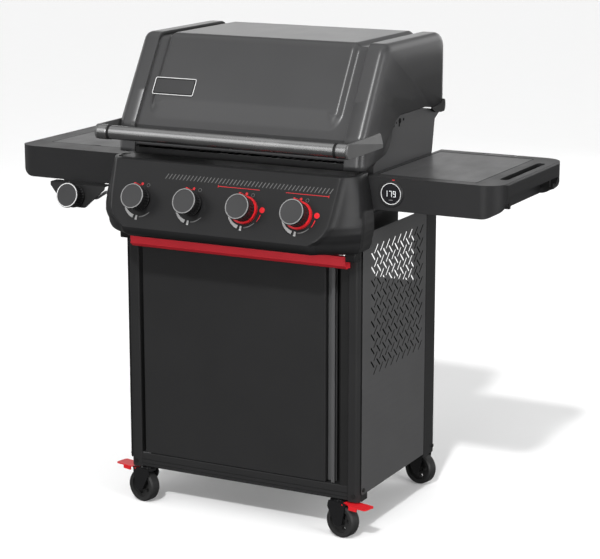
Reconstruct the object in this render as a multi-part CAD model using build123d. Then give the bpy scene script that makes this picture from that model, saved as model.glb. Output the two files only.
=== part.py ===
from build123d import *
import math
import os

os.makedirs("parts", exist_ok=True)

# Gas barbecue grill on a wheeled cabinet. Millimetres, +Z up, the front faces -Y.
# All places below are measured from the floor under the middle of the cabinet. The written
# parts are moved back by ORIGIN_SHIFT, so that the origin is under the middle of the whole grill.
ORIGIN_SHIFT = 53.4

# ---- driving dimensions ----
HALF_CABINET = 328.0        # outside of the side panels
FRONT = -224.0              # front face of the posts
BACK = 222.0                # back face of the rear posts
UNDERSIDE = 94.0            # bottom of the cabinet frame
POST_WIDTH = 33.0
POST_DEPTH = 44.0
REAR_POST_FRONT = 153.0
POST_TOP = 814.0
BOX_BOTTOM = 716.0          # underside of the firebox
SHEET = 2.0                 # folded sheet steel
PANEL_SHEET = 3.0           # side panels
RAIL_TOP = 132.0

DOOR_LEFT = -282.0
DOOR_RIGHT = 231.0
DOOR_BOTTOM = 134.5
DOOR_TOP = 673.0
DOOR_FRONT = -222.0
DOOR_DEPTH = 18.0
HINGE_X = -276.0
HINGE_Y = -215.0

TABLE_TOP = 898.0
TABLE_BOTTOM = 819.0
TABLE_FRONT = -205.0
TABLE_BACK = 224.0
TABLE_INNER = 333.0
TABLE_OUTER = 665.0
TABLE_CORNER = 50.0
TABLE_EDGE_ROUND = 48.0

FACE_TILT = 22.7            # control panel face, from upright
FACE_TOP_Y = -296.0         # face plane at the panel's top edge
PANEL_TOP = 900.0
KNOB_PITCH = 144.0
KNOB_FACE_Z = 814.0         # where each knob's axis leaves the face
KNOB_LENGTH = 41.0
STEM_R = 4.0
RUNNING = 0.05              # radial clearance of pins and stems

SIDE_KNOB_X = -462.0
SIDE_FACE_Y = -243.0
SIDE_FACE_Z = 785.5
SIDE_TILT = 15.0

LID_HALF = 336.0
LID_TOP = 1195.0
LID_HINGE_Y = 212.0
LID_HINGE_Z = 1006.0
CAP_WIDTH = 48.0            # end cap, from the lid's side inwards
CAP_WALL = 6.0
SKIN_STEP = 3.0             # the skin lies this far inside the end caps' outline
SKIN = 2.0
HANDLE_Y = -318.0
HANDLE_Z = 971.0
HANDLE_R = 17.0
HANDLE_HALF = LID_HALF
ARM_WALL = 5.5

WHEEL_R = 42.0
WHEEL_WIDTH = 30.0
CASTER_TRAIL = 14.0
CASTER_TURN = 13.0          # the wheels stand turned this far about the vertical
FRONT_LEFT_CASTER = (281.0, -214.0)     # out from the middle, and along Y
FRONT_RIGHT_CASTER = (264.0, -214.0)
REAR_CASTER = (266.0, 246.0)

TILT = math.radians(FACE_TILT)
FACE_NORMAL = Vector(0, -math.cos(TILT), math.sin(TILT))
SIDE_NORMAL = Vector(0, -math.cos(math.radians(SIDE_TILT)), math.sin(math.radians(SIDE_TILT)))
KNOB_XS = [KNOB_PITCH * (step - 1.5) for step in range(4)]


# ---- shape helpers ----
def face_y(z, forward=0.0):
    """Y of the control panel's face plane at height z."""
    return FACE_TOP_Y - (PANEL_TOP - z) * math.tan(TILT) - forward


def slab(x, y, z):
    """Box between the low and high values given for each axis."""
    size = [pair[1] - pair[0] for pair in (x, y, z)]
    return Pos(x[0], y[0], z[0]) * Box(*size, align=(Align.MIN, Align.MIN, Align.MIN))


def rod(start, end, radius):
    """Round bar between two points."""
    axis = Vector(*end) - Vector(*start)
    plane = Plane(origin=start, z_dir=axis)
    return plane * Cylinder(radius, axis.length, align=(Align.CENTER, Align.CENTER, Align.MIN))


def pipe(start, end, radius, wall):
    return rod(start, end, radius) - rod(start, end, radius - wall)


def outline(points, radii):
    """Closed polygon whose corners are rounded by the radii given (0 keeps a corner sharp)."""
    face = Polygon(*points, align=None)
    for point, radius in zip(points, radii):
        if radius:
            corner = face.vertices().sort_by_distance((point[0], point[1], 0))[0]
            face = fillet(corner, radius)
    return face


def side_prism(shape, x_low, x_high):
    """Sketch in (Y, Z), extruded along X."""
    return extrude(Plane.YZ.offset(x_low) * shape, x_high - x_low, dir=(1, 0, 0))


def front_prism(shape, y_front, y_back):
    """Sketch in (X, Z), extruded along Y."""
    return extrude(Plane.XZ.offset(-y_back) * shape, y_back - y_front, dir=(0, -1, 0))


def plan_prism(shape, z_low, z_high):
    """Sketch in (X, Y), extruded along Z."""
    return extrude(Plane.XY.offset(z_low) * shape, z_high - z_low, dir=(0, 0, 1))


def both_sides(shape):
    return shape + mirror(shape, about=Plane.YZ)


def gather(shapes):
    """One node from several separate solids."""
    return Compound(children=[solid for shape in shapes for solid in shape.solids()])


def write(name, shape):
    export_step(Pos(0, ORIGIN_SHIFT, 0) * shape, f"parts/{name}.step")


# ---- cabinet frame ----
def front_post():
    outer = HALF_CABINET - PANEL_SHEET
    inner = outer - POST_WIDTH
    back = FRONT + POST_DEPTH
    section = outline(
        [(inner, FRONT), (outer, FRONT), (outer, back), (inner, back)], [3, 14, 0, 0]
    )
    hollow = Polygon(
        (inner + SHEET, FRONT + SHEET), (outer - SHEET - 6, FRONT + SHEET),
        (outer - SHEET, FRONT + SHEET + 6), (outer - SHEET, back + 1), (inner + SHEET, back + 1),
        align=None,
    )
    return plan_prism(section - hollow, UNDERSIDE, POST_TOP)


def rear_post():
    outer = HALF_CABINET - 1.0
    inner = outer - POST_WIDTH - 2.0
    section = outline(
        [(inner, REAR_POST_FRONT), (outer, REAR_POST_FRONT), (outer, BACK), (inner, BACK)],
        [0, 4, 12, 3],
    )
    hollow = Polygon(
        (inner - 1, REAR_POST_FRONT + SHEET), (outer - SHEET, REAR_POST_FRONT + SHEET),
        (outer - SHEET, BACK - SHEET - 10), (outer - SHEET - 10, BACK - SHEET),
        (inner - 1, BACK - SHEET), align=None,
    )
    return plan_prism(section - hollow, UNDERSIDE + 8, POST_TOP)


SLOT_LENGTH = 29.0
SLOT_WIDTH = 4.6
SLOT_PITCH = 33.4
SLOT_FIRST_Y = -161.8
SLOT_TOP_Z = 695.0
SLOT_COLUMNS = 18
WINDOW = ((-181.0, 104.0), (758.5, 806.0))      # hand opening in each side: Y range, Z range


def side_panel():
    low_y = FRONT + 6.0
    high_y = REAR_POST_FRONT - 4.0
    sheet = outline(
        [(low_y, 112), (high_y, 112), (high_y, POST_TOP), (low_y, POST_TOP)], [8, 3, 3, 3]
    )
    (y_low, y_high), (z_low, z_high) = WINDOW
    sheet -= outline(
        [(y_low, z_low), (y_high, z_low), (y_high, z_high), (y_low, z_high)], [14, 14, 14, 14]
    )
    slot = SlotOverall(SLOT_LENGTH, SLOT_WIDTH)
    slots = []
    for column in range(SLOT_COLUMNS):
        rising = column % 2
        rows = 10 if rising else 9
        top = SLOT_TOP_Z + rising * SLOT_PITCH / 2
        y = SLOT_FIRST_Y + column * SLOT_PITCH / 2 * 0.988
        angle = 45 if rising else -45
        slots += [Pos(y, top - row * SLOT_PITCH) * Rot(0, 0, angle) * slot for row in range(rows)]
    return side_prism(sheet - slots, HALF_CABINET - PANEL_SHEET, HALF_CABINET)


BACK_PANEL_TOP = 552.0


def back_panel():
    half = 289.0
    sheet = slab((-half, half), (215, 217), (118, BACK_PANEL_TOP))
    hem = slab((-half, half), (205, 215), (BACK_PANEL_TOP - SHEET, BACK_PANEL_TOP))
    return sheet + hem


CASTER_STEM_R = 5.5
SOCKET_TOP = 116.0


def bottom_shelf():
    half = 290.0
    shelf = slab((-half, half), (-186, 200), (108, 110))
    shelf += slab((-half, half), (-186, -184), (UNDERSIDE, 110))
    shelf += both_sides(slab((half - 2, half), (-186, 200), (UNDERSIDE, 118)))
    x, y = REAR_CASTER
    block = slab((x - 20, half), (186, y + 19), (UNDERSIDE, SOCKET_TOP))
    block -= rod((x, y, UNDERSIDE - 1), (x, y, SOCKET_TOP - 2), CASTER_STEM_R + RUNNING)
    cross_rail = slab((-x + 20, x - 20), (196, 213), (UNDERSIDE, SOCKET_TOP))
    return shelf + both_sides(block) + cross_rail


def front_rail():
    half = HALF_CABINET - PANEL_SHEET - POST_WIDTH
    back = -188.0
    groove = 1.6
    section = Polygon(
        (FRONT + 2, UNDERSIDE + 3), (FRONT + 4, UNDERSIDE + 1), (back, UNDERSIDE + 1),
        (back, UNDERSIDE + 3), (FRONT + 6, UNDERSIDE + 3), (FRONT + 6, RAIL_TOP - 2),
        (back, RAIL_TOP - 2), (back, RAIL_TOP), (FRONT + 4, RAIL_TOP), (FRONT + 2, RAIL_TOP - 2),
        align=None,
    )
    for z in (UNDERSIDE + 10, UNDERSIDE + 20):
        section -= Pos(FRONT + 2, z) * Rectangle(2 * groove, 2.4)
    rail = side_prism(section, -half, half)
    for side, (out, y) in ((-1, FRONT_LEFT_CASTER), (1, FRONT_RIGHT_CASTER)):
        block = slab((out - 18, min(out + 18, half)), (FRONT + 5, back), (UNDERSIDE + 1, SOCKET_TOP))
        block -= rod((out, y, UNDERSIDE - 1), (out, y, SOCKET_TOP - 2), CASTER_STEM_R + RUNNING)
        rail -= rod((side * out, y, UNDERSIDE - 1), (side * out, y, SOCKET_TOP), CASTER_STEM_R + RUNNING)
        rail += block if side > 0 else mirror(block, about=Plane.YZ)
    return rail


def upper_rails():
    """Side rails that tie the posts and carry the firebox, with the right-hand door jamb."""
    inner = HALF_CABINET - PANEL_SHEET - 24
    outer = HALF_CABINET - PANEL_SHEET - 2.5
    front = FRONT + POST_DEPTH + 0.5
    back = REAR_POST_FRONT - 0.5
    rail = slab((inner, outer), (front, back), (POST_TOP - 16, POST_TOP))
    rail -= slab((inner - 1, outer - SHEET), (front - 1, back + 1), (POST_TOP - 17, POST_TOP - SHEET))
    jamb = slab((271, 291.5), (FRONT + 3, FRONT + 5), (RAIL_TOP, 674))
    jamb += slab((289.5, 291.5), (FRONT + 5, FRONT + 34), (RAIL_TOP, 674))
    jamb += slab((248, 291.5), (FRONT + 32, FRONT + 34), (RAIL_TOP, 674))
    return gather([both_sides(rail), jamb])


def red_cross_bar():
    half = 297.0
    front = -252.0
    section = Polygon(
        (front, 708), (front, 685), (front + 9, 677), (FRONT - 0.5, 677), (FRONT - 0.5, 679),
        (front + 10, 679), (front + 2, 686), (front + 2, 706), (front + 14, 706),
        (front + 14, 708), align=None,
    )
    ends = Polygon(
        (front + 1, 706), (front + 1, 685), (front + 9, 678), (FRONT - 0.5, 678),
        (FRONT - 0.5, 700), align=None,
    )
    bar = side_prism(section, -half, half)
    return bar + both_sides(side_prism(ends, half - 2, half))


def frame_bolts():
    """Bolt heads at the foot of each post: front, side, and outside of the rear posts."""
    outer = HALF_CABINET - 1
    heads = rod((309, FRONT, 109), (309, FRONT - 3, 109), 5)
    heads += rod((HALF_CABINET, FRONT + 14, 124), (HALF_CABINET + 3, FRONT + 14, 124), 5)
    heads += rod((outer, BACK - 16, 120), (outer + 3, BACK - 16, 120), 5)
    return gather([both_sides(heads)])


# ---- door ----
def door_panel():
    back = DOOR_FRONT + DOOR_DEPTH
    plan = outline(
        [(DOOR_LEFT, DOOR_FRONT), (DOOR_RIGHT, DOOR_FRONT), (DOOR_RIGHT, back), (DOOR_LEFT, back)],
        [2.5, 2.5, 0, 0],
    )
    door = plan_prism(plan, DOOR_BOTTOM, DOOR_TOP)
    door -= slab(
        (DOOR_LEFT + 14, DOOR_RIGHT - SHEET),
        (DOOR_FRONT + SHEET, back + 1),
        (DOOR_BOTTOM + SHEET, DOOR_TOP - SHEET),
    )
    pin_hole = rod((HINGE_X, HINGE_Y, DOOR_BOTTOM - 1), (HINGE_X, HINGE_Y, DOOR_BOTTOM + 22), 3)
    top_hole = rod((HINGE_X, HINGE_Y, DOOR_TOP - 22), (HINGE_X, HINGE_Y, DOOR_TOP + 1), 3)
    return door - pin_hole - top_hole


def door_handle():
    """Full-height grip rail on the door's free edge, with a finger groove."""
    back = DOOR_FRONT + DOOR_DEPTH
    web = slab((DOOR_RIGHT, 255), (back - SHEET, back), (DOOR_BOTTOM, DOOR_TOP))
    lip = slab((246, 255), (DOOR_FRONT + 2, back - SHEET), (DOOR_BOTTOM, DOOR_TOP))
    lip -= slab((246 + SHEET, 256), (DOOR_FRONT + 4, back - 4), (DOOR_BOTTOM - 1, DOOR_TOP + 1))
    return web + lip


def door_hinge_brackets():
    pin_r = 3 - RUNNING
    low = slab((-291.5, HINGE_X + 8), (HINGE_Y - 6, HINGE_Y + 20), (RAIL_TOP, RAIL_TOP + 1.6))
    low += rod((HINGE_X, HINGE_Y, RAIL_TOP), (HINGE_X, HINGE_Y, DOOR_BOTTOM + 18), pin_r)
    z = DOOR_TOP + 1.0
    high = slab((-291.5, HINGE_X + 8), (HINGE_Y - 6, HINGE_Y + 20), (z, z + 2.5))
    high += rod((HINGE_X, HINGE_Y, DOOR_TOP - 18), (HINGE_X, HINGE_Y, z + 2.5), pin_r)
    return gather([low, high])


# ---- firebox and what it holds ----
BOX_OUTER = 330.0
BOX_WALL = 12.0
BOX_FRONT = -170.0
BOX_REAR = 148.0            # back wall where it stands between the posts
BOX_WAIST = POST_TOP        # the firebox is narrower below this height
BOX_LOWER_HALF = 250.0
TRAY_HALF = 236.0
# the line where lid and firebox meet, on the side, from front to back: (Y, Z)
PARTING = [
    (-147, 929), (-114, 936), (-95, 950), (-84, 967), (-76, 990), (-60, 1009), (-31, 1020),
    (111, 1020), (154, 1014), (190, 1004),
]
PARTING_GAP = 3.0
BURNER_Z = 803.0
BURNER_R = 12.5


def cookbox():
    top = [(y, z - PARTING_GAP) for y, z in PARTING]
    wall = Polygon(
        (BOX_FRONT, BOX_WAIST), (BOX_FRONT, 915), *top, (172, 905), (BOX_REAR, BOX_WAIST),
        align=None,
    )
    ear = Polygon((180, 1001), (212, 1017.5), (212, 994.5), (176, 976), align=None)
    wall += ear
    wall += Pos(LID_HINGE_Y, LID_HINGE_Z) * Circle(11.8)
    wall -= Pos(LID_HINGE_Y, LID_HINGE_Z) * Circle(4 + RUNNING)
    inner = BOX_OUTER - BOX_WALL
    box = both_sides(side_prism(wall, inner, BOX_OUTER))
    step_top = BOX_WAIST + 3
    low_inner = BOX_LOWER_HALF - 4
    depth = (BOX_FRONT, BOX_REAR)
    box += both_sides(slab((low_inner, inner + 1), depth, (BOX_WAIST, step_top)))
    box += both_sides(slab((low_inner, BOX_LOWER_HALF), depth, (BOX_BOTTOM, step_top)))
    front_depth = (BOX_FRONT, BOX_FRONT + 5)
    box += slab((-inner, inner), front_depth, (BOX_WAIST, 913))
    box += slab((-BOX_LOWER_HALF, BOX_LOWER_HALF), front_depth, (BOX_BOTTOM, BOX_WAIST))
    for x in KNOB_XS:
        box -= rod((x, BOX_FRONT - 1, BURNER_Z), (x, BOX_FRONT + 6, BURNER_Z), BURNER_R + 2)
    raked_rear = Polygon(
        (BOX_REAR, BOX_WAIST), (172, 905), (189, 985), (184, 985), (167, 906),
        (BOX_REAR - 5, step_top), (BOX_REAR - 5, BOX_WAIST), align=None,
    )
    box += side_prism(raked_rear, -inner, inner)
    rear_depth = (BOX_REAR - 5, BOX_REAR)
    box += slab((-BOX_LOWER_HALF, BOX_LOWER_HALF), rear_depth, (BOX_BOTTOM, BOX_WAIST))
    floor = slab((-BOX_LOWER_HALF, BOX_LOWER_HALF), depth, (BOX_BOTTOM, BOX_BOTTOM + 6))
    floor -= slab((-225, 225), (-130, 115), (BOX_BOTTOM - 1, BOX_BOTTOM + 7))
    ledges = both_sides(slab((inner - 14, inner), (BOX_FRONT, BOX_REAR + 18), (890, 895)))
    ledges += slab((-inner, inner), (BOX_FRONT, BOX_FRONT + 17), (844, 848))
    ledges += slab((-inner, inner), (BOX_REAR - 14, BOX_REAR + 5), (844, 848))
    hanger = slab((TRAY_HALF + 2, TRAY_HALF + 5), (-150, 145), (690, BOX_BOTTOM))
    hanger += slab((TRAY_HALF - 8, TRAY_HALF + 5), (-150, 145), (687, 690))
    return box + floor + ledges + both_sides(hanger)


def main_burners():
    tubes = []
    for x in KNOB_XS:
        tube = pipe((x, -262, BURNER_Z), (x, 138, BURNER_Z), BURNER_R, 1.6)
        tube += rod((x, 136, BURNER_Z), (x, 139, BURNER_Z), BURNER_R)
        ports = [Pos(x, y, BURNER_Z + 9) * Box(30, 2.2, 3) for y in range(-120, 130, 20)]
        tubes.append(tube - ports)
    return gather(tubes)


def heat_deflectors():
    """Inverted-V bars over the burners."""
    roof = Polygon((-32, 0), (0, 26), (32, 0), (30, 0), (0, 23.6), (-30, 0), align=None)
    xs = [KNOB_PITCH * (step - 2) for step in range(5)]
    bars = [
        front_prism(Pos(x, 848.3) * roof, BOX_FRONT + 7, BOX_REAR - 2) for x in (xs + KNOB_XS)
        if abs(x) < 250
    ]
    return gather(bars)


GRATE_LOW = 895.3
GRATE_TOP = 911.0


def cook_grates():
    grates = []
    for side in (-1, 1):
        x_in, x_out = 3.0, 315.0
        frame = slab((x_in, x_out), (-162, 162), (GRATE_LOW, GRATE_LOW + 8))
        frame -= slab((x_in + 9, x_out - 9), (-153, 153), (GRATE_LOW - 1, GRATE_LOW + 9))
        pitch = (x_out - x_in) / 16
        for step in range(1, 16):
            x = x_in + step * pitch
            frame += slab((x - 3.5, x + 3.5), (-160, 160), (GRATE_LOW + 3, GRATE_TOP))
        grates.append(frame if side > 0 else mirror(frame, about=Plane.YZ))
    return gather(grates)


def warming_rack():
    """Wire shelf that hangs between the firebox's side walls, behind and above the grates."""
    z = 1000.0
    low_y, high_y = 80.0, 150.0
    rack = rod((-300, low_y, z), (300, low_y, z), 3)
    rack += rod((-300, high_y, z), (300, high_y, z), 3)
    for step in range(21):
        x = -290 + step * 29
        rack += rod((x, low_y, z), (x, high_y, z), 2)
    for side in (-1, 1):
        for y in (low_y, high_y):
            rack += rod((side * 299, y, z), (side * 318, y, z), 2.4)
    return rack


# ---- gas line ----
MANIFOLD_Y = -296.0
MANIFOLD_Z = 779.0
MANIFOLD_HALF = 282.0
INLET_X = 271.0             # the supply hose is pushed on here, from the back


def along(normal, x, base_y, base_z, distance):
    """Point on a knob's axis, a distance in front of its face."""
    return (x, base_y + normal.Y * distance, base_z + normal.Z * distance)


def valve(normal, x, base_y, base_z):
    start = along(normal, x, base_y, base_z, -46)
    plane = Plane(origin=start, x_dir=(1, 0, 0), z_dir=normal)
    body = plane * Box(24, 24, 30, align=(Align.CENTER, Align.CENTER, Align.MIN))
    body += plane * Pos(0, 0, 30) * Cylinder(9, 6, align=(Align.CENTER, Align.CENTER, Align.MIN))
    bore = plane * Pos(0, 0, 5) * Cylinder(
        STEM_R + RUNNING, 40, align=(Align.CENTER, Align.CENTER, Align.MIN)
    )
    return body - bore


def knob_base(index):
    return (FACE_NORMAL, KNOB_XS[index], face_y(KNOB_FACE_Z), KNOB_FACE_Z)


SIDE_BASE = (SIDE_NORMAL, SIDE_KNOB_X, SIDE_FACE_Y, SIDE_FACE_Z)


def gas_valves():
    valves = []
    for index in range(4):
        normal, x, base_y, base_z = knob_base(index)
        body = valve(normal, x, base_y, base_z)
        nozzle = rod((x, -298, BURNER_Z - 4), (x, -252, BURNER_Z - 4), 5)
        bore = rod(
            along(normal, x, base_y, base_z, -41), along(normal, x, base_y, base_z, 1),
            STEM_R + RUNNING,
        )
        valves.append(body + nozzle - bore)
    valves.append(valve(*SIDE_BASE))
    return gather(valves)


def gas_manifold():
    tube = rod((-MANIFOLD_HALF, MANIFOLD_Y, MANIFOLD_Z), (INLET_X, MANIFOLD_Y, MANIFOLD_Z), 9)
    elbow = Pos(INLET_X, MANIFOLD_Y, MANIFOLD_Z) * Box(22, 22, 22)
    elbow = fillet(elbow.edges(), 3)
    inlet = rod((INLET_X, MANIFOLD_Y + 11, MANIFOLD_Z), (INLET_X, MANIFOLD_Y + 31, MANIFOLD_Z), 8)
    return tube + elbow + inlet


def side_gas_tube():
    route = [
        (SIDE_KNOB_X + 12, -218, 779), (-415, -218, 782), (-378, -232, 803), (-335, -244, 800),
        (-306, -280, MANIFOLD_Z + 4), (-MANIFOLD_HALF, MANIFOLD_Y, MANIFOLD_Z),
    ]
    path = FilletPolyline(*route, radius=[22, 22, 22, 14])
    start = Plane(origin=path @ 0, z_dir=path % 0)
    return sweep(start * Circle(4), path)


def igniter_module():
    box = Pos(0, -272, 852) * Box(64, 26, 40)
    box = fillet(box.edges().filter_by(Axis.Y), 4)
    terminals = [rod((x, -259, 852), (x, -253, 852), 2.5) for x in (-18, -6, 6, 18)]
    return box + terminals


# ---- control panel ----
def panel_section(z, face_half, face_at, bevel, belly_half, belly_at, inset=0.0):
    """Plan outline of the panel at one height: face, bevel, bulging flank, open back."""
    face = face_at + inset
    points = [
        (face_half - inset * 0.4, face),
        (face_half + bevel[0] - inset, face + bevel[1]),
        (belly_half - inset, belly_at + inset * 0.5),
        (belly_half - inset, TABLE_FRONT - 0.5 + 2 * inset),
    ]
    right = points
    left = [(-x, y) for x, y in reversed(points)]
    return Plane.XY.offset(z) * Polygon(*right, *left, align=None)


def panel_body(inset, top, bottom):
    """The fascia's outside (inset 0), or the hollow behind it."""
    levels = [
        (top, 302, FACE_TOP_Y, 333, -252),
        (792, 292, face_y(792), 350, -274),
        (768, 280, face_y(768), 350, -276),
        (752, 262, face_y(757), 346, -270),
        (738, 250, -336, 338, -262),
    ]
    sections = [
        panel_section(z, half, y, (14, 11), belly, belly_y, inset)
        for z, half, y, belly, belly_y in levels
    ]
    upper = loft(sections, ruled=True)
    low_sections = [
        panel_section(738, 250, -336, (14, 11), 338, -262, inset),
        panel_section(bottom, 246, -262, (14, 6), 320, -246, inset),
    ]
    return upper + loft(low_sections, ruled=True)


def control_panel():
    shell = panel_body(0.0, PANEL_TOP, 712)
    brow = side_prism(
        Polygon((FACE_TOP_Y, PANEL_TOP), (-290, 905), (-214, 905), (TABLE_FRONT - 0.5, PANEL_TOP),
                align=None),
        -312, 312,
    )
    shell += brow
    shell -= panel_body(4.0, PANEL_TOP - 4, 711)
    for index in range(4):
        normal, x, base_y, base_z = knob_base(index)
        shell -= rod(
            along(normal, x, base_y, base_z, -20), along(normal, x, base_y, base_z, 3), STEM_R + 1.5
        )
    legs = both_sides(slab((262, 318), (-258, -254.5), (704, 722)))
    legs += both_sides(slab((314, 318), (-254.5, -232), (704, 722)))
    shell += legs
    post_room = HALF_CABINET + 3.5
    shell -= slab((-post_room, post_room), (FRONT - 3.5, TABLE_FRONT), (700, TABLE_BOTTOM - 2))
    return shell - rod((-360, -238.5, 801.5), (-320, -238.5, 801.5), 8)


def red_bezels():
    rings = []
    for index in (2, 3):
        normal, x, base_y, base_z = knob_base(index)
        ends = [along(normal, x, base_y, base_z, distance) for distance in (0.05, 8)]
        rings.append(rod(*ends, 34) - rod(*ends, 29.5))
    return gather(rings)


def knob(normal, x, base_y, base_z):
    """Fluted knob with a flared front rim and a bore for the valve stem."""
    plane = Plane(origin=(x, base_y, base_z), x_dir=(1, 0, 0), z_dir=normal)
    profile = Polygon(
        (0, 5.2), (28, 5.2), (28, 8), (26.6, 10), (27.4, 31), (29.5, 35), (29.5, KNOB_LENGTH - 2),
        (28, KNOB_LENGTH), (25.5, KNOB_LENGTH), (25, KNOB_LENGTH - 1), (0, KNOB_LENGTH - 0.5),
        align=None,
    )
    body = revolve(Plane.XZ * profile, Axis.Z)
    flutes = PolarLocations(28.6, 24) * Cylinder(
        2.2, 20, align=(Align.CENTER, Align.CENTER, Align.MIN)
    )
    body -= [Pos(0, 0, 10.5) * flute for flute in flutes]
    body -= Cylinder(STEM_R + 0.02, 29, align=(Align.CENTER, Align.CENTER, Align.MIN))
    pointer = Pos(0, 28.4, 33) * Box(4, 3.2, 6)
    return plane * (body + pointer)


def valve_stem(normal, x, base_y, base_z):
    ends = [along(normal, x, base_y, base_z, distance) for distance in (-34, 28)]
    return rod(*ends, STEM_R)


# ---- side tables ----
def table_blank():
    """Right-hand table before its openings: rounded outer corners and a rounded outer bottom edge."""
    plan = outline(
        [(TABLE_INNER, TABLE_FRONT), (TABLE_OUTER, TABLE_FRONT), (TABLE_OUTER, TABLE_BACK),
         (TABLE_INNER, TABLE_BACK)],
        [0, TABLE_CORNER, TABLE_CORNER, 0],
    )
    front_view = outline(
        [(TABLE_INNER, TABLE_BOTTOM), (TABLE_OUTER, TABLE_BOTTOM), (TABLE_OUTER, TABLE_TOP),
         (TABLE_INNER, TABLE_TOP)],
        [0, TABLE_EDGE_ROUND, 5, 0],
    )
    blank = plan_prism(plan, TABLE_BOTTOM, TABLE_TOP)
    blank &= front_prism(front_view, TABLE_FRONT - 1, TABLE_BACK + 1)
    wall = 5.0
    hollow_plan = outline(
        [(TABLE_INNER + wall, TABLE_FRONT + wall), (614, TABLE_FRONT + wall),
         (614, TABLE_BACK - wall), (TABLE_INNER + wall, TABLE_BACK - wall)],
        [0, 20, 20, 0],
    )
    return blank - plan_prism(hollow_plan, TABLE_BOTTOM - 1, TABLE_TOP - 8)


INSET = ((344.0, 595.0), (-176.0, 191.0))
GRAB_SLOT = ((624.0, 645.0), (-113.0, 142.0))
RAIL_UNDERSIDE = 863.0      # the grab rail is slimmer than the rest of the table


def right_table_frame():
    table = table_blank()
    (x_low, x_high), (y_low, y_high) = INSET
    table -= slab((x_low, x_high), (y_low, y_high), (TABLE_TOP - 3, TABLE_TOP + 1))
    table -= slab((x_low + 16, x_high - 16), (y_low + 16, y_high - 16), (TABLE_TOP - 9, TABLE_TOP))
    (x_low, x_high), (y_low, y_high) = GRAB_SLOT
    grab = outline(
        [(x_low, y_low), (x_high, y_low), (x_high, y_high), (x_low, y_high)], [9, 9, 9, 9]
    )
    table -= plan_prism(grab, TABLE_BOTTOM - 1, TABLE_TOP + 1)
    table -= slab((450, 540), (TABLE_BACK - 12, TABLE_BACK + 1), (TABLE_TOP - 6, TABLE_TOP + 1))
    return table - slab((619, TABLE_OUTER + 1), (-150, 172), (TABLE_BOTTOM - 1, RAIL_UNDERSIDE))


def right_table_top():
    (x_low, x_high), (y_low, y_high) = INSET
    gap = 0.8
    plate = outline(
        [(x_low + gap, y_low + gap), (x_high - gap, y_low + gap), (x_high - gap, y_high - gap),
         (x_low + gap, y_high - gap)],
        [6, 6, 6, 6],
    )
    return plan_prism(plate, TABLE_TOP - 3, TABLE_TOP - 0.2)


BURNER_LID_X = (-609.0, -345.0)
BURNER_LID_Y = (-127.0, 190.5)
BURNER_LID_PIN_Y = 184.0
BURNER_LID_PIN_Z = 895.7
LID_GAP = 1.0


def left_table():
    table = mirror(table_blank(), about=Plane.YZ)
    table -= slab(BURNER_LID_X, BURNER_LID_Y, (TABLE_TOP - 4.8, TABLE_TOP + 1))
    well_x = (BURNER_LID_X[0] + 14, BURNER_LID_X[1] - 14)
    table -= slab(well_x, (BURNER_LID_Y[0] + 14, BURNER_LID_Y[1]), (TABLE_TOP - 9, TABLE_TOP))
    hinge_relief = slab(
        BURNER_LID_X, (BURNER_LID_PIN_Y - 8, BURNER_LID_Y[1]), (TABLE_TOP - 9, TABLE_TOP)
    )
    pin_holes = rod(
        (BURNER_LID_X[0] - 6, BURNER_LID_PIN_Y, BURNER_LID_PIN_Z),
        (BURNER_LID_X[1] + 6, BURNER_LID_PIN_Y, BURNER_LID_PIN_Z), 1.5 + RUNNING,
    )
    return table - hinge_relief - pin_holes


def side_burner_lid():
    x_low, x_high = BURNER_LID_X[0] + LID_GAP, BURNER_LID_X[1] - LID_GAP
    y_low, y_high = BURNER_LID_Y[0] + LID_GAP, BURNER_LID_Y[1] - 1.5
    plate = slab((x_low, x_high), (y_low, y_high), (TABLE_TOP - 4.5, TABLE_TOP))
    notch = Pos(-476, y_low - 22, TABLE_TOP + 12) * Sphere(32)
    plate -= notch
    pin_at = (BURNER_LID_PIN_Y, BURNER_LID_PIN_Z)
    pins = [
        rod((x - 4, *pin_at), (x + 4, *pin_at), 1.5) for x in (x_low, x_high)
    ]
    return plate + pins


SIDE_BURNER_CENTRE = (-477.0, 31.0)


def side_burner():
    x, y = SIDE_BURNER_CENTRE
    z = TABLE_TOP - 9
    pan = slab((x - 112, x + 112), (y - 132, y + 132), (z - 42, z))
    pan -= slab((x - 109, x + 109), (y - 129, y + 129), (z - 39.5, z + 1))
    stem = rod((x, y, z - 60), (x, y, z - 26), 16)
    pan -= rod((x, y, z - 50), (x, y, z - 30), 16)
    head = rod((x, y, z - 26), (x, y, z - 17), 30)
    cap = rod((x, y, z - 16.9), (x, y, z - 12), 34)
    return gather([pan, stem + head, cap])


def side_burner_grate():
    x, y = SIDE_BURNER_CENTRE
    z = TABLE_TOP - 9
    ring = pipe((x, y, z - 4), (x, y, z - 0.5), 52, 4)
    for angle in range(0, 360, 45):
        finger = Pos(x, y, z - 7) * Rot(0, 0, angle) * Pos(66, 0, 0) * Box(82, 6, 6.5)
        ring += finger
    rim = slab((x - 108.5, x + 108.5), (y - 128.5, y + 128.5), (z - 11, z - 6))
    rim -= slab((x - 101, x + 101), (y - 121, y + 121), (z - 12, z - 5))
    return ring + rim


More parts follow.
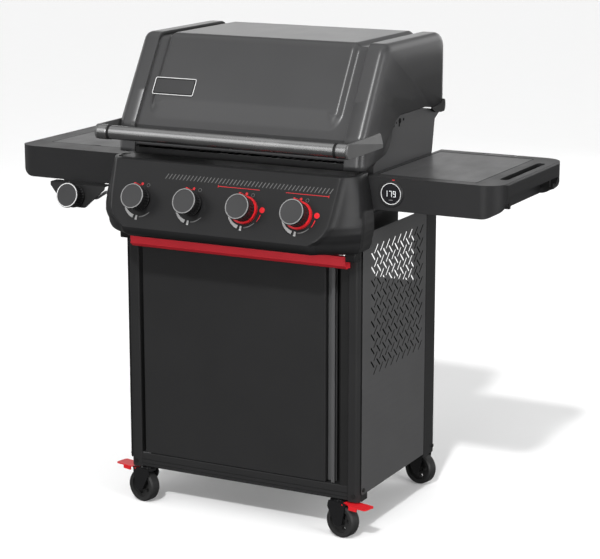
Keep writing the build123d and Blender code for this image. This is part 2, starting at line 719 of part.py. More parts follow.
def side_burner_bracket():
    plane = Plane(origin=(SIDE_KNOB_X, SIDE_FACE_Y, SIDE_FACE_Z), x_dir=(1, 0, 0), z_dir=SIDE_NORMAL)
    plate = outline(
        [(-81, 31), (-80, 24), (-30, -26), (30, -26), (80, 24), (81, 31)], [0, 4, 14, 14, 4, 0]
    )
    plate -= Circle(STEM_R + 1.5)
    body = extrude(plane * plate, -3)
    low, high = TABLE_BOTTOM - 4, TABLE_BOTTOM - 1.5
    lip = slab((SIDE_KNOB_X - 81, SIDE_KNOB_X + 81), (-235, -205.5), (low, high))
    lip += slab((SIDE_KNOB_X - 60, SIDE_KNOB_X + 60), (-206, -201), (low, TABLE_BOTTOM))
    return body + lip


def display():
    """Round read-out in the right table's front face: a light ring and a lens."""
    centre = (393.5, 858.5)
    y = TABLE_FRONT
    ring = rod((centre[0], y, centre[1]), (centre[0], y - 4, centre[1]), 30)
    ring -= rod((centre[0], y + 1, centre[1]), (centre[0], y - 5, centre[1]), 26.5)
    lens = rod((centre[0], y, centre[1]), (centre[0], y - 2.5, centre[1]), 26.4)
    return gather([ring, lens])


def tool_hooks():
    hooks = []
    for y in (-138, 150):
        shank = slab((650, 653), (y - 5, y + 5), (836, RAIL_UNDERSIDE))
        foot = slab((650, 663), (y - 5, y + 5), (836, 839))
        tip = slab((660, 663), (y - 5, y + 5), (839, 849))
        hooks.append(shank + foot + tip)
    return gather(hooks)


# ---- grease tray ----
def grease_tray():
    outer = slab((-TRAY_HALF, TRAY_HALF), (-168, 178), (690.4, 712))
    inner = slab((-TRAY_HALF + 2, TRAY_HALF - 2), (-166, 176), (692.4, 713))
    tray = outer - inner - slab((-40, 40), (-40, 40), (689, 694))
    hooks = both_sides(slab((88, 92), (-60, 60), (655, 690.4)))
    hooks += both_sides(slab((84, 92), (-60, 60), (652, 655)))
    return tray + hooks


def catch_pan():
    pan = slab((-83.5, 83.5), (-62, 62), (655.2, 684))
    pan -= slab((-82, 82), (-60.5, 60.5), (656.7, 685))
    flange = both_sides(slab((83.5, 87.4), (-62, 62), (682.5, 684)))
    return pan + flange


# ---- lid ----
LID_FRONT_LOW = (-242.0, 934.0)
LID_CREASE = (-239.0, 984.0)
LID_SHOULDER = (-111.0, LID_TOP)
LID_REAR = 235.0
LID_REAR_LOW = 1011.0


def lid_outline(inset, low_z):
    """Closed (Y, Z) outline of the lid: front band, raked front, top and back, drawn in by inset."""
    rake = 0.8 * inset
    return outline(
        [
            (LID_FRONT_LOW[0] + inset, low_z), (LID_CREASE[0] + inset, LID_CREASE[1]),
            (LID_SHOULDER[0] + rake, LID_TOP - inset), (LID_REAR - inset, LID_TOP - inset),
            (LID_REAR - inset, low_z),
        ],
        [0, 8, 28, 36, 0],
    )


def lid_shell():
    half = LID_HALF - CAP_WIDTH
    skin = side_prism(lid_outline(SKIN_STEP, 900), -half, half)
    skin += side_prism(lid_outline(0, 900), -256, 256)
    skin -= side_prism(lid_outline(SKIN_STEP + SKIN, 890), -half - 1, half + 1)
    under = Polygon((-260, 880), (-260, LID_FRONT_LOW[1]), (-200, LID_FRONT_LOW[1]), (-200, 960),
                    (180, 1000), (220, LID_REAR_LOW), (250, LID_REAR_LOW), (250, 880), align=None)
    skin -= side_prism(under, -half - 1, half + 1)
    lip = slab((-half, half), (-242 + SKIN_STEP, -228), (LID_FRONT_LOW[1], LID_FRONT_LOW[1] + SKIN))
    return skin + lip


def lid_end(side):
    inner = LID_HALF - CAP_WIDTH
    blank = side_prism(lid_outline(0, 900), inner, LID_HALF)
    corner = blank.faces().sort_by(Axis.X)[-1].edges().filter_by(
        lambda edge: edge.center().Z > 985 and edge.center().Y < LID_REAR + 1
    )
    blank = fillet(corner, 16)
    blank -= side_prism(lid_outline(CAP_WALL, 890), inner - 1, LID_HALF - 5)
    below = Polygon(
        (-260, 880), (-260, 915), (-244, 915), *PARTING, (LID_HINGE_Y - 13, 1000),
        (LID_HINGE_Y - 13, 880), align=None,
    )
    below += Polygon(
        (LID_HINGE_Y - 14, 880), (LID_HINGE_Y - 14, 992), (LID_HINGE_Y + 12, 992),
        (LID_REAR - CAP_WALL - 4, LID_REAR_LOW), (260, LID_REAR_LOW), (260, 880), align=None,
    )
    blank -= side_prism(below, inner - 1, LID_HALF + 1)
    blank += side_prism(Pos(LID_HINGE_Y, LID_HINGE_Z) * Circle(12), BOX_OUTER + 0.8, LID_HALF)
    pin = rod((312, LID_HINGE_Y, LID_HINGE_Z), (LID_HALF - 1, LID_HINGE_Y, LID_HINGE_Z), 4)
    cap = blank + pin
    return cap if side > 0 else mirror(cap, about=Plane.YZ)


def lid_handle_bar():
    bar = rod((-HANDLE_HALF, HANDLE_Y, HANDLE_Z), (HANDLE_HALF, HANDLE_Y, HANDLE_Z), HANDLE_R)
    ends = bar.edges().filter_by(GeomType.CIRCLE)
    bar = fillet(ends, 3)
    groove_x = 323.0
    for side in (-1, 1):
        groove = pipe(
            (side * groove_x, HANDLE_Y, HANDLE_Z), (side * (groove_x + 2), HANDLE_Y, HANDLE_Z),
            HANDLE_R + 1, 2.2,
        )
        bar -= groove
    return bar


def lid_handle_arms():
    """Flat arms that carry the bar's ends and lie against the lid's sides."""
    front = HANDLE_Y - HANDLE_R
    side_view = outline(
        [(front, 953), (-144, 955), (-140, 962), (-146, 991), (front, 989)], [15, 2, 4, 6, 15]
    )
    return both_sides(side_prism(side_view, HANDLE_HALF, HANDLE_HALF + ARM_WALL))


BADGE_WIDTH = 116.0
BADGE_HEIGHT = 46.0
BADGE_CENTRE = (-203.0, 1072.0)     # X and Z


def lid_badge():
    """Blank name plate lying on the raked front."""
    run = (LID_SHOULDER[0] - LID_CREASE[0], LID_SHOULDER[1] - LID_CREASE[1])
    rake = math.atan2(run[0], run[1])
    normal = Vector(0, -math.cos(rake), math.sin(rake))
    x, z = BADGE_CENTRE
    y = LID_CREASE[0] + (z - LID_CREASE[1]) * math.tan(rake)
    plane = Plane(origin=Vector(x, y, z) + normal * 0.02, x_dir=(1, 0, 0), z_dir=normal)
    plate = RectangleRounded(BADGE_WIDTH, BADGE_HEIGHT, 5)
    return extrude(plane * plate, 2.5)


# ---- casters ----
PEDAL_PIVOT = 27.0          # from the stem, along the trailing direction
PEDAL_PIN_R = 2.2
PEDAL_Z = 90.0


def caster_place(side, spot):
    """Stem position and the direction the wheel trails in."""
    x, y = spot
    turn = math.radians(CASTER_TURN)
    reach = Vector(math.cos(turn), -math.sin(turn), 0) * side
    return Vector(side * x, y, 0), reach


def caster_fork(side, spot):
    stem, reach = caster_place(side, spot)
    hub = stem + reach * CASTER_TRAIL
    plane = Plane(origin=(hub.X, hub.Y, 0), x_dir=reach, z_dir=(0, 0, 1))
    back = -CASTER_TRAIL
    cheek_shape = outline(
        [(back - 16, 92), (back - 20, 77), (-11, 35), (0, 30), (11, 35), (17, 64), (21, 92)],
        [0, 4, 8, 8, 8, 8, 0],
    )
    gap = WHEEL_WIDTH / 2 + 1.5
    cheek = extrude(Plane.XZ.offset(gap) * cheek_shape, 4)
    fork = cheek + mirror(cheek, about=Plane.XZ)
    on_base = (Align.CENTER, Align.CENTER, Align.MIN)
    fork += Pos(back, 0, 85.5) * Cylinder(21, 6.5, align=on_base)
    fork += Pos(back, 0, 91.5) * Cylinder(13, 2.1, align=on_base)
    fork += Pos(back, 0, 90) * Cylinder(CASTER_STEM_R, 20, align=on_base)
    axle = Pos(0, 0, WHEEL_R) * Rot(90, 0, 0) * Cylinder(4, 2 * gap + 8)
    axle_hole = Pos(0, 0, WHEEL_R) * Rot(90, 0, 0) * Cylinder(4, 2 * gap + 20)
    pedal_hole = Cylinder(PEDAL_PIN_R + RUNNING, 2 * gap + 20)
    fork -= Pos(PEDAL_PIVOT + back, 0, PEDAL_Z - 1.5) * Rot(90, 0, 0) * pedal_hole
    return gather([plane * (fork - axle_hole), plane * axle])


def caster_wheel(side, spot):
    stem, reach = caster_place(side, spot)
    hub = stem + reach * CASTER_TRAIL
    plane = Plane(origin=(hub.X, hub.Y, WHEEL_R), x_dir=reach, z_dir=(0, 0, 1))
    half = WHEEL_WIDTH / 2
    rim = WHEEL_R - 7
    tyre_section = Polygon(
        (rim, -half), (rim + 4, -half), (WHEEL_R, -half + 5), (WHEEL_R, half - 5),
        (rim + 4, half), (rim, half), align=None,
    )
    tyre = revolve(Plane.XY * tyre_section, Axis.Y)
    web_section = Polygon(
        (4 + RUNNING, -half - 0.8), (10, -half - 0.8), (12, -5), (29, -5), (30, -half + 1),
        (rim, -half + 1), (rim, half - 1), (30, half - 1), (29, 5), (12, 5), (10, half + 0.8),
        (4 + RUNNING, half + 0.8), align=None,
    )
    core = revolve(Plane.XY * web_section, Axis.Y)
    for angle in range(0, 360, 72):
        core -= Rot(0, angle, 0) * Pos(20.5, 0, 0) * Rot(90, 0, 0) * Cylinder(5.5, 14)
    return gather([plane * tyre, plane * core])


def brake_pedal(side, spot):
    stem, reach = caster_place(side, spot)
    plane = Plane(origin=(stem.X, stem.Y, 0), x_dir=reach, z_dir=(0, 0, 1))
    tongue = outline(
        [(22, -9), (37, -12), (46, -19), (93, -19), (97, -14), (97, 14), (93, 19), (46, 19),
         (37, 12), (22, 9)],
        [0, 0, 3, 2, 2, 2, 2, 3, 0, 0],
    )
    pedal = plan_prism(tongue, PEDAL_Z - 3, PEDAL_Z)
    rib = slab((46, 70), (15.5, 19), (PEDAL_Z - 11, PEDAL_Z - 2))
    pin = Pos(PEDAL_PIVOT, 0, PEDAL_Z - 1.5) * Rot(90, 0, 0) * Cylinder(PEDAL_PIN_R, WHEEL_WIDTH + 10)
    return plane * (pedal + pin + rib + mirror(rib, about=Plane.XZ))


# ---- writing ----
write("front_posts", both_sides(front_post()))
write("rear_posts", both_sides(rear_post()))
write("side_panels", both_sides(side_panel()))
write("back_panel", back_panel())
write("bottom_shelf", bottom_shelf())
write("front_rail", front_rail())
write("upper_rails", upper_rails())
write("red_cross_bar", red_cross_bar())
write("frame_bolts", frame_bolts())
write("door_panel", door_panel())
write("door_handle", door_handle())
write("door_hinge_brackets", door_hinge_brackets())
write("cookbox", cookbox())
write("main_burners", main_burners())
write("heat_deflectors", heat_deflectors())
write("cook_grates", cook_grates())
write("warming_rack", warming_rack())
write("gas_valves", gas_valves())
write("gas_manifold", gas_manifold())
write("side_gas_tube", side_gas_tube())
write("igniter_module", igniter_module())
write("control_panel", control_panel())
write("red_bezels", red_bezels())
write("right_table_frame", right_table_frame())
write("right_table_top", right_table_top())
write("left_table", left_table())
write("side_burner_lid", side_burner_lid())
write("side_burner", side_burner())
write("side_burner_grate", side_burner_grate())
write("side_burner_bracket", side_burner_bracket())
write("display", display())
write("tool_hooks", tool_hooks())
write("grease_tray", grease_tray())
write("catch_pan", catch_pan())
write("lid_shell", lid_shell())
write("lid_left_end", lid_end(-1))
write("lid_right_end", lid_end(1))
write("lid_handle_bar", lid_handle_bar())
write("lid_handle_arms", lid_handle_arms())
write("lid_badge", lid_badge())
for index in range(4):
    write(f"knob_{index + 1}", knob(*knob_base(index)))
    write(f"valve_stem_{index + 1}", valve_stem(*knob_base(index)))
write("side_knob", knob(*SIDE_BASE))
write("side_valve_stem", valve_stem(*SIDE_BASE))
CASTERS = {
    "front_left": (-1, FRONT_LEFT_CASTER), "front_right": (1, FRONT_RIGHT_CASTER),
    "rear_left": (-1, REAR_CASTER), "rear_right": (1, REAR_CASTER),
}
for place, (side, spot) in CASTERS.items():
    write(f"caster_fork_{place}", caster_fork(side, spot))
    write(f"caster_wheel_{place}", caster_wheel(side, spot))
write("brake_pedal_left", brake_pedal(-1, FRONT_LEFT_CASTER))
write("brake_pedal_right", brake_pedal(1, FRONT_RIGHT_CASTER))
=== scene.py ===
import math

import bpy
from mathutils import Matrix, Vector


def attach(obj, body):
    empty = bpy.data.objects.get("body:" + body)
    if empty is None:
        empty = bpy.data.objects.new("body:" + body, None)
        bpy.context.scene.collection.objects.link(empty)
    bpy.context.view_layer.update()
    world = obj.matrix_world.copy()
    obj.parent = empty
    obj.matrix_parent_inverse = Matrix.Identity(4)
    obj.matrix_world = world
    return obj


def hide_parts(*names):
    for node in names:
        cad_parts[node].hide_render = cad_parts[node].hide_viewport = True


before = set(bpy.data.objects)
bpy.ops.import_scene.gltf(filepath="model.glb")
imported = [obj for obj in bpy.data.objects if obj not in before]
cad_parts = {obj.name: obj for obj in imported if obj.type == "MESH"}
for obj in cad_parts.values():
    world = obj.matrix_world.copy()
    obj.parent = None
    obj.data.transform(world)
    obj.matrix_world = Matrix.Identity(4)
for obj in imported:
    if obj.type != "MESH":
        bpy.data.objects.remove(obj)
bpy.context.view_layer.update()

# Lengths are in millimetres, from the floor under the middle of the cabinet, as in the CAD,
# except for the floor, backdrop and lights, which are in metres.
SHIFT = 53.4                # added to Y to reach the shared frame
PANEL_TOP, PANEL_TOP_Y = 900, -296
PANEL_TILT = math.radians(22.7)
SIDE_TILT = math.radians(15)
KNOB_PITCH, KNOB_Z = 144, 814
KNOB_XS = [KNOB_PITCH * (step - 1.5) for step in range(4)]
SIDE_KNOB_BASE = (-462, -243, 785.5)
TABLE_TOP = 898


# ---- materials ----
def link(tree, source, target):
    tree.links.new(source, target)


def noise_at(tree, coordinates, scale, detail, stretch=(1, 1, 1)):
    mapping = tree.nodes.new("ShaderNodeMapping")
    mapping.inputs["Scale"].default_value = stretch
    noise = tree.nodes.new("ShaderNodeTexNoise")
    noise.inputs["Scale"].default_value = scale
    noise.inputs["Detail"].default_value = detail
    link(tree, coordinates, mapping.inputs["Vector"])
    link(tree, mapping.outputs["Vector"], noise.inputs["Vector"])
    return noise.outputs["Fac"]


def remap(tree, value, low, high, start=0.3, end=0.7):
    node = tree.nodes.new("ShaderNodeMapRange")
    node.inputs["From Min"].default_value = start
    node.inputs["From Max"].default_value = end
    node.inputs["To Min"].default_value = low
    node.inputs["To Max"].default_value = high
    link(tree, value, node.inputs["Value"])
    return node.outputs["Result"]


def finish(name, colour, rough, metal=0.0, grain=0.12, grain_scale=1500, patch=0.07, brushed=None,
           coat=0.0, specular=0.5, edge=0.0, spread=0.07):
    """Surface with fine grain, patchy gloss, slight colour drift, optional brushing, and an optional
    painted highlight that lightens the colour along convex edges.
    """
    material = bpy.data.materials.new(name)
    material.use_nodes = True
    tree = material.node_tree
    shader = tree.nodes["Principled BSDF"]
    shader.inputs["Metallic"].default_value = metal
    shader.inputs["Specular IOR Level"].default_value = specular
    shader.inputs["Coat Weight"].default_value = coat
    shader.inputs["Coat Roughness"].default_value = 0.12
    coordinates = tree.nodes.new("ShaderNodeTexCoord").outputs["Object"]
    patches = noise_at(tree, coordinates, 9, 5)
    smears = noise_at(tree, coordinates, 30, 8, (1, 0.35, 3.0))
    fine = noise_at(tree, coordinates, grain_scale, 2)
    if brushed:
        fine = noise_at(tree, coordinates, 1.0, 3, brushed)
    drift = tree.nodes.new("ShaderNodeMix")
    drift.data_type = "RGBA"
    drift.inputs["A"].default_value = [c * (1 - patch) for c in colour] + [1]
    drift.inputs["B"].default_value = [c * (1 + patch) for c in colour] + [1]
    link(tree, remap(tree, patches, 0, 1), drift.inputs["Factor"])
    base = drift.outputs["Result"]
    # Painted highlight: the base colour is lightened where the surface is sharply convex (pointiness),
    # standing in for light caught on rounded edges.
    if edge:
        geometry = tree.nodes.new("ShaderNodeNewGeometry")
        edge_lit = tree.nodes.new("ShaderNodeMix")
        edge_lit.data_type = "RGBA"
        edge_lit.inputs["B"].default_value = [min(1, c * 1.6 + 0.03) for c in colour] + [1]
        link(tree, base, edge_lit.inputs["A"])
        edge_highlight_mask = remap(tree, geometry.outputs["Pointiness"], 0, edge, 0.52, 0.60)
        link(tree, edge_highlight_mask, edge_lit.inputs["Factor"])
        base = edge_lit.outputs["Result"]
    link(tree, base, shader.inputs["Base Color"])
    total = tree.nodes.new("ShaderNodeMath")
    total.operation = "ADD"
    link(tree, remap(tree, patches, rough - spread / 2, rough + spread / 2), total.inputs[0])
    link(tree, remap(tree, smears, -spread / 3, spread / 3), total.inputs[1])
    link(tree, total.outputs["Value"], shader.inputs["Roughness"])
    bump = tree.nodes.new("ShaderNodeBump")
    bump.inputs["Strength"].default_value = grain
    bump.inputs["Distance"].default_value = 0.0002
    link(tree, fine, bump.inputs["Height"])
    link(tree, bump.outputs["Normal"], shader.inputs["Normal"])
    return material


def glowing(name, colour, strength):
    """Material of the display's lit figures."""
    material = finish(name, colour, 0.4)
    shader = material.node_tree.nodes["Principled BSDF"]
    shader.inputs["Emission Color"].default_value = [*colour, 1]
    shader.inputs["Emission Strength"].default_value = strength
    return material


LID_PAINT = finish(
    "lid_paint", (0.043, 0.043, 0.044), 0.31, grain=0.05, patch=0.03, specular=0.46, spread=0.02,
)
# edge= sets the strength of the painted highlight along convex edges.
CABINET_PAINT = finish(
    "cabinet_paint", (0.007, 0.007, 0.0073), 0.36, grain=0.15, specular=0.16, edge=0.35,
)
SIDE_PAINT = finish("side_paint", (0.054, 0.054, 0.055), 0.44, grain=0.15, specular=0.25, edge=0.2)
PANEL_PAINT = finish("panel_paint", (0.014, 0.014, 0.0145), 0.36, grain=0.10, specular=0.18, edge=0.2)
TABLE_GRAIN = finish(
    "table_grain", (0.012, 0.012, 0.0125), 0.38, grain=0.28, grain_scale=900, specular=0.14, edge=0.2,
)
PLATE_PAINT = finish("plate_paint", (0.046, 0.046, 0.047), 0.36, grain=0.15, specular=0.2)
DARK_STEEL = finish("dark_steel", (0.010, 0.010, 0.010), 0.5, grain=0.2, specular=0.2)
DEEP_SHADE = finish("deep_shade", (0.004, 0.004, 0.004), 0.7, grain=0.2, specular=0.05)
RED_PAINT = finish("red_paint", (0.56, 0.018, 0.030), 0.42, grain=0.12, specular=0.25, edge=0.1)
RED_PLASTIC = finish("red_plastic", (0.60, 0.014, 0.020), 0.33, grain=0.08, specular=0.35)
HANDLE_STEEL = finish(
    "handle_steel", (0.37, 0.37, 0.37), 0.25, metal=1.0, grain=0.35, brushed=(3, 700, 700),
)
ARM_METAL = finish("arm_metal", (0.12, 0.12, 0.12), 0.34, metal=0.4, grain=0.3, brushed=(900, 6, 900))
INNER_STEEL = finish(
    "inner_steel", (0.35, 0.34, 0.32), 0.38, metal=1.0, grain=0.3, brushed=(4, 600, 600), patch=0.2,
)
GRATE_IRON = finish("grate_iron", (0.018, 0.018, 0.018), 0.55, grain=0.6, grain_scale=500, specular=0.3)
KNOB_BLACK = finish("knob_black", (0.012, 0.012, 0.0125), 0.38, grain=0.12, specular=0.3)
KNOB_CAP = finish("knob_cap", (0.034, 0.034, 0.035), 0.45, grain=0.25, grain_scale=1100, specular=0.3)
PALE_PRINT = finish("pale_print", (0.42, 0.42, 0.42), 0.5, grain=0.05, specular=0.2)
GREY_PRINT = finish("grey_print", (0.12, 0.12, 0.12), 0.5, grain=0.05, specular=0.2)
LIGHT_RING = finish("light_ring", (0.62, 0.62, 0.62), 0.35, grain=0.05)
GREY_RING = finish("grey_ring", (0.20, 0.20, 0.20), 0.4, grain=0.05)
LENS = finish("lens", (0.006, 0.006, 0.008), 0.12, grain=0.02, coat=0.5)
DIGITS = glowing("digits", (0.75, 0.77, 0.78), 0.25)
BRASS = finish("brass", (0.45, 0.32, 0.12), 0.35, metal=1.0, grain=0.2)
ZINC = finish("zinc", (0.38, 0.38, 0.39), 0.38, metal=1.0, grain=0.3, patch=0.15)
CASTER_BLACK = finish("caster_black", (0.008, 0.008, 0.0085), 0.22, grain=0.06, specular=0.4)
TYRE = finish("tyre", (0.020, 0.020, 0.020), 0.5, grain=0.35, grain_scale=700, specular=0.3)
MODULE_BLACK = finish("module_black", (0.010, 0.010, 0.010), 0.6, grain=0.3)

NODE_FINISH = {
    "front_posts": CABINET_PAINT, "rear_posts": CABINET_PAINT, "side_panels": SIDE_PAINT,
    "back_panel": CABINET_PAINT, "bottom_shelf": CABINET_PAINT, "front_rail": CABINET_PAINT,
    "upper_rails": DARK_STEEL, "red_cross_bar": RED_PAINT, "frame_bolts": DARK_STEEL,
    "door_panel": CABINET_PAINT, "door_handle": SIDE_PAINT, "door_hinge_brackets": ZINC,
    "cookbox": LID_PAINT, "main_burners": INNER_STEEL, "heat_deflectors": INNER_STEEL,
    "cook_grates": GRATE_IRON, "warming_rack": INNER_STEEL, "gas_valves": BRASS,
    "gas_manifold": ZINC, "side_gas_tube": ZINC, "igniter_module": MODULE_BLACK,
    "control_panel": PANEL_PAINT, "red_bezels": RED_PLASTIC, "right_table_frame": TABLE_GRAIN,
    "right_table_top": PLATE_PAINT, "left_table": TABLE_GRAIN, "side_burner_lid": PLATE_PAINT,
    "side_burner": INNER_STEEL, "side_burner_grate": GRATE_IRON, "side_burner_bracket": CABINET_PAINT,
    "display": LENS, "tool_hooks": DARK_STEEL, "grease_tray": INNER_STEEL, "catch_pan": INNER_STEEL,
    "lid_shell": LID_PAINT, "lid_left_end": LID_PAINT, "lid_right_end": LID_PAINT,
    "lid_handle_bar": HANDLE_STEEL, "lid_handle_arms": ARM_METAL, "lid_badge": ARM_METAL,
}
for node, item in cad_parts.items():
    if node.startswith(("knob", "side_knob")):
        chosen = KNOB_BLACK
    elif "stem" in node:
        chosen = ZINC
    elif node.startswith("caster_fork"):
        chosen = CASTER_BLACK
    elif node.startswith("caster_wheel"):
        chosen = TYRE
    elif node.startswith("brake"):
        chosen = RED_PLASTIC
    else:
        chosen = NODE_FINISH[node]
    item.data.materials.clear()
    item.data.materials.append(chosen)


# ---- building pieces ----
def place(x, y, z):
    """Row-frame point, in metres, of a point given in the cabinet's millimetres."""
    return Vector((x, y + SHIFT, z)) / 1000


def make(name, points, faces, body, material, replaces=(), slot=None, sharp=35):
    """Mesh piece from millimetre points, riding on a body."""
    mesh = bpy.data.meshes.new(name)
    mesh.from_pydata([place(*point) for point in points], [], faces)
    mesh.validate()
    mesh.update()
    mesh.shade_smooth()
    mesh.set_sharp_from_angle(angle=math.radians(sharp))
    mesh.materials.append(material)
    piece = bpy.data.objects.new(name, mesh)
    bpy.context.scene.collection.objects.link(piece)
    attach(piece, body)
    if replaces:
        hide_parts(*replaces)
    return piece


def thicken(piece, thickness, outwards=-1.0):
    solid = piece.modifiers.new("thickness", "SOLIDIFY")
    solid.thickness = thickness / 1000
    solid.offset = outwards
    return piece


def soften(piece, width, segments=2, angle=35):
    bevel = piece.modifiers.new("edges", "BEVEL")
    bevel.width = width / 1000
    bevel.segments = segments
    bevel.limit_method = "ANGLE"
    bevel.angle_limit = math.radians(angle)
    return piece


def quads(rows, close_columns=False):
    """Points and faces of a grid given as rows of equally many points."""
    count = len(rows[0])
    points = [point for row in rows for point in row]
    faces = []
    for i in range(len(rows) - 1):
        for j in range(count if close_columns else count - 1):
            this, below, beside = i * count, (i + 1) * count, (j + 1) % count
            faces.append((this + j, this + beside, below + beside, below + j))
    return points, faces


def band(count, first=0):
    """Faces between two closed rings of count points, the first ring starting at index first."""
    return [
        (first + i, first + (i + 1) % count, first + (i + 1) % count + count, first + i + count)
        for i in range(count)
    ]


def rounded(points, radii, steps=8):
    """2-D polyline whose inner corners are replaced by arcs."""
    line = [points[0]]
    for before, corner, after, radius in zip(points, points[1:], points[2:], radii):
        a = (Vector(before) - Vector(corner)).normalized()
        b = (Vector(after) - Vector(corner)).normalized()
        half = a.angle(b) / 2
        reach = radius / math.tan(half)
        centre = Vector(corner) + (a + b).normalized() * (radius / math.sin(half))
        start, end = Vector(corner) + a * reach - centre, Vector(corner) + b * reach - centre
        turn = start.angle_signed(end)
        for step in range(steps + 1):
            line.append(tuple(centre + Matrix.Rotation(-turn * step / steps, 2) @ start))
    line.append(points[-1])
    return line


def smooth(t):
    t = max(0.0, min(1.0, t))
    return t * t * (3 - 2 * t)


def ramped(t):
    """Straight ramp with short rounded ends."""
    t = max(0.0, min(1.0, t))
    return 0.75 * t + 0.25 * smooth(t)


def loop(points, radii, steps=6):
    """Closed rounded polygon, as one ring of 2-D points."""
    count = len(points)
    ring = []
    for index, radius in enumerate(radii):
        before, corner, after = points[index - 1], points[index], points[(index + 1) % count]
        if radius:
            ring += rounded([before, corner, after], [radius], steps)[1:-1]
        else:
            ring.append(tuple(corner))
    return ring


def slab_of(name, ring, to_point, low, high, body, material, **extra):
    """Flat piece: a ring given to two heights by to_point(u, v, height)."""
    count = len(ring)
    points = [to_point(u, v, low) for u, v in ring] + [to_point(u, v, high) for u, v in ring]
    faces = [tuple(range(count))[::-1], tuple(range(count, 2 * count))]
    faces += band(count)
    return make(name, points, faces, body, material, **extra)


def as_given(x, y, z):
    return (x, y, z)


# ---- hood ----
HOOD_TOP = 1195.0
HOOD_KNEE = (-239, 984)             # Y and Z where the raked front begins
HOOD_SHOULDER_Y = -111
PARTING = [
    (-147, 929), (-114, 936), (-95, 950), (-84, 967), (-76, 990), (-60, 1009), (-31, 1020),
    (111, 1020), (154, 1014), (190, 1004),
]


def hood_line(inset, front_low, rear_low=1010.0):
    """Hood profile in (Y, Z), from the front's lower edge over the top to the rear's lower edge."""
    corners = [
        (-243 + inset, front_low), (HOOD_KNEE[0] + inset, HOOD_KNEE[1]),
        (HOOD_SHOULDER_Y + 0.8 * inset, HOOD_TOP - inset),
        (235 - inset, HOOD_TOP - inset), (235 - inset, rear_low),
    ]
    return rounded(corners, [14, max(3, 30 - inset), max(3, 36 - inset)], 10)


def spaced(line, gap):
    """The polyline with long stretches divided."""
    result = [line[0]]
    for a, b in zip(line, line[1:]):
        count = max(1, math.ceil(math.dist(a, b) / gap))
        result += [
            (a[0] + (b[0] - a[0]) * step / count, a[1] + (b[1] - a[1]) * step / count)
            for step in range(1, count + 1)
        ]
    return result


RAISED_HALF, SIDE_RAMP, LOW_RAMP, RAISED_LOW = 249.0, 13.0, 40.0, 1004.0
SKIN_DROP, PANEL_CORNER = 9.0, 34.0
SKIN_HALF, SKIN_COLUMNS = 296.0, 186


def hood_drop(x, z, is_front):
    """How far the skin lies under the raised middle panel."""
    across = (abs(x) - RAISED_HALF) / SIDE_RAMP
    down = (RAISED_LOW + LOW_RAMP - z) / LOW_RAMP if is_front else -1
    corner = PANEL_CORNER
    dx = abs(x) - (RAISED_HALF + SIDE_RAMP - corner)
    dz = (RAISED_LOW + corner) - z
    if is_front and dx > 0 and dz > 0:
        reach = math.hypot(dx, dz)
        wide = LOW_RAMP + (SIDE_RAMP - LOW_RAMP) * (math.atan2(dx, dz) / (math.pi / 2))
        return SKIN_DROP * ramped(1 - (corner - reach) / wide)
    return SKIN_DROP * ramped(max(across, down))


def hood_skin():
    line = spaced(hood_line(0, 932), 5)
    normals = []
    for index in range(len(line)):
        a, b = line[max(0, index - 1)], line[min(len(line) - 1, index + 1)]
        length = math.dist(a, b)
        normals.append(((b[1] - a[1]) / length, -(b[0] - a[0]) / length))
    top_index = max(range(len(line)), key=lambda i: (line[i][1], -line[i][0]))
    xs = [2 * SKIN_HALF * step / (SKIN_COLUMNS - 1) - SKIN_HALF for step in range(SKIN_COLUMNS)]
    rows = []
    for x in xs:
        row = []
        for index, ((y, z), normal) in enumerate(zip(line, normals)):
            drop = hood_drop(x, z, index < top_index)
            row.append((x, y + normal[0] * drop, z + normal[1] * drop))
        rows.append(row)
    points, faces = quads(rows)
    skin = make(
        "hood_skin", points, faces, "lid", LID_PAINT, replaces=["lid_shell"], slot="lid_grey", sharp=50,
    )
    return thicken(skin, 2.0, 1.0)


def resample(row, count):
    """Row with its points set evenly by length, so that neighbouring rows match."""
    lengths = [0.0]
    for a, b in zip(row, row[1:]):
        lengths.append(lengths[-1] + math.dist(a, b))
    result, index = [], 0
    for step in range(count):
        want = lengths[-1] * step / (count - 1)
        while index < len(row) - 2 and lengths[index + 1] < want:
            index += 1
        span = lengths[index + 1] - lengths[index]
        part = 0 if span == 0 else (want - lengths[index]) / span
        a, b = row[index], row[index + 1]
        result.append(tuple(p + (q - p) * part for p, q in zip(a, b)))
    return result


def hood_end(side):
    radius = 20.0
    stations = [(286.6, 9.5), (286.8, 1.2), (288.2, 0), (316, 0)]
    for step in range(1, 9):
        angle = math.radians(90 * step / 8)
        stations.append((316 + radius * math.sin(angle), radius * (1 - math.cos(angle))))
    rows = []
    for x, inset in stations:
        rows.append([(side * x, y, z) for y, z in spaced(hood_line(inset, 913), 14)])
    count = min(len(row) for row in rows)
    rows = [resample(row, count) for row in rows]
    points, faces = quads(rows)
    start = (len(rows) - 1) * count
    lower = [(204, 1003), *PARTING[::-1], (-225, 913)]
    first = len(points)
    points += [(side * 336, y, z) for y, z in lower[:-1]]
    faces.append(tuple(range(start, start + count)) + tuple(range(first, len(points))))
    if side < 0:
        faces = [face[::-1] for face in faces]
    name = "left" if side < 0 else "right"
    end = make(
        f"hood_end_{name}", points, faces, "lid", LID_PAINT,
        replaces=[f"lid_{name}_end"], slot="lid_grey", sharp=40,
    )
    return thicken(end, 5.0, 1.0)


hood_skin()
hood_end(-1)
hood_end(1)


# ---- control panel ----
def face_y(z):
    return PANEL_TOP_Y - (PANEL_TOP - z) * math.tan(PANEL_TILT)


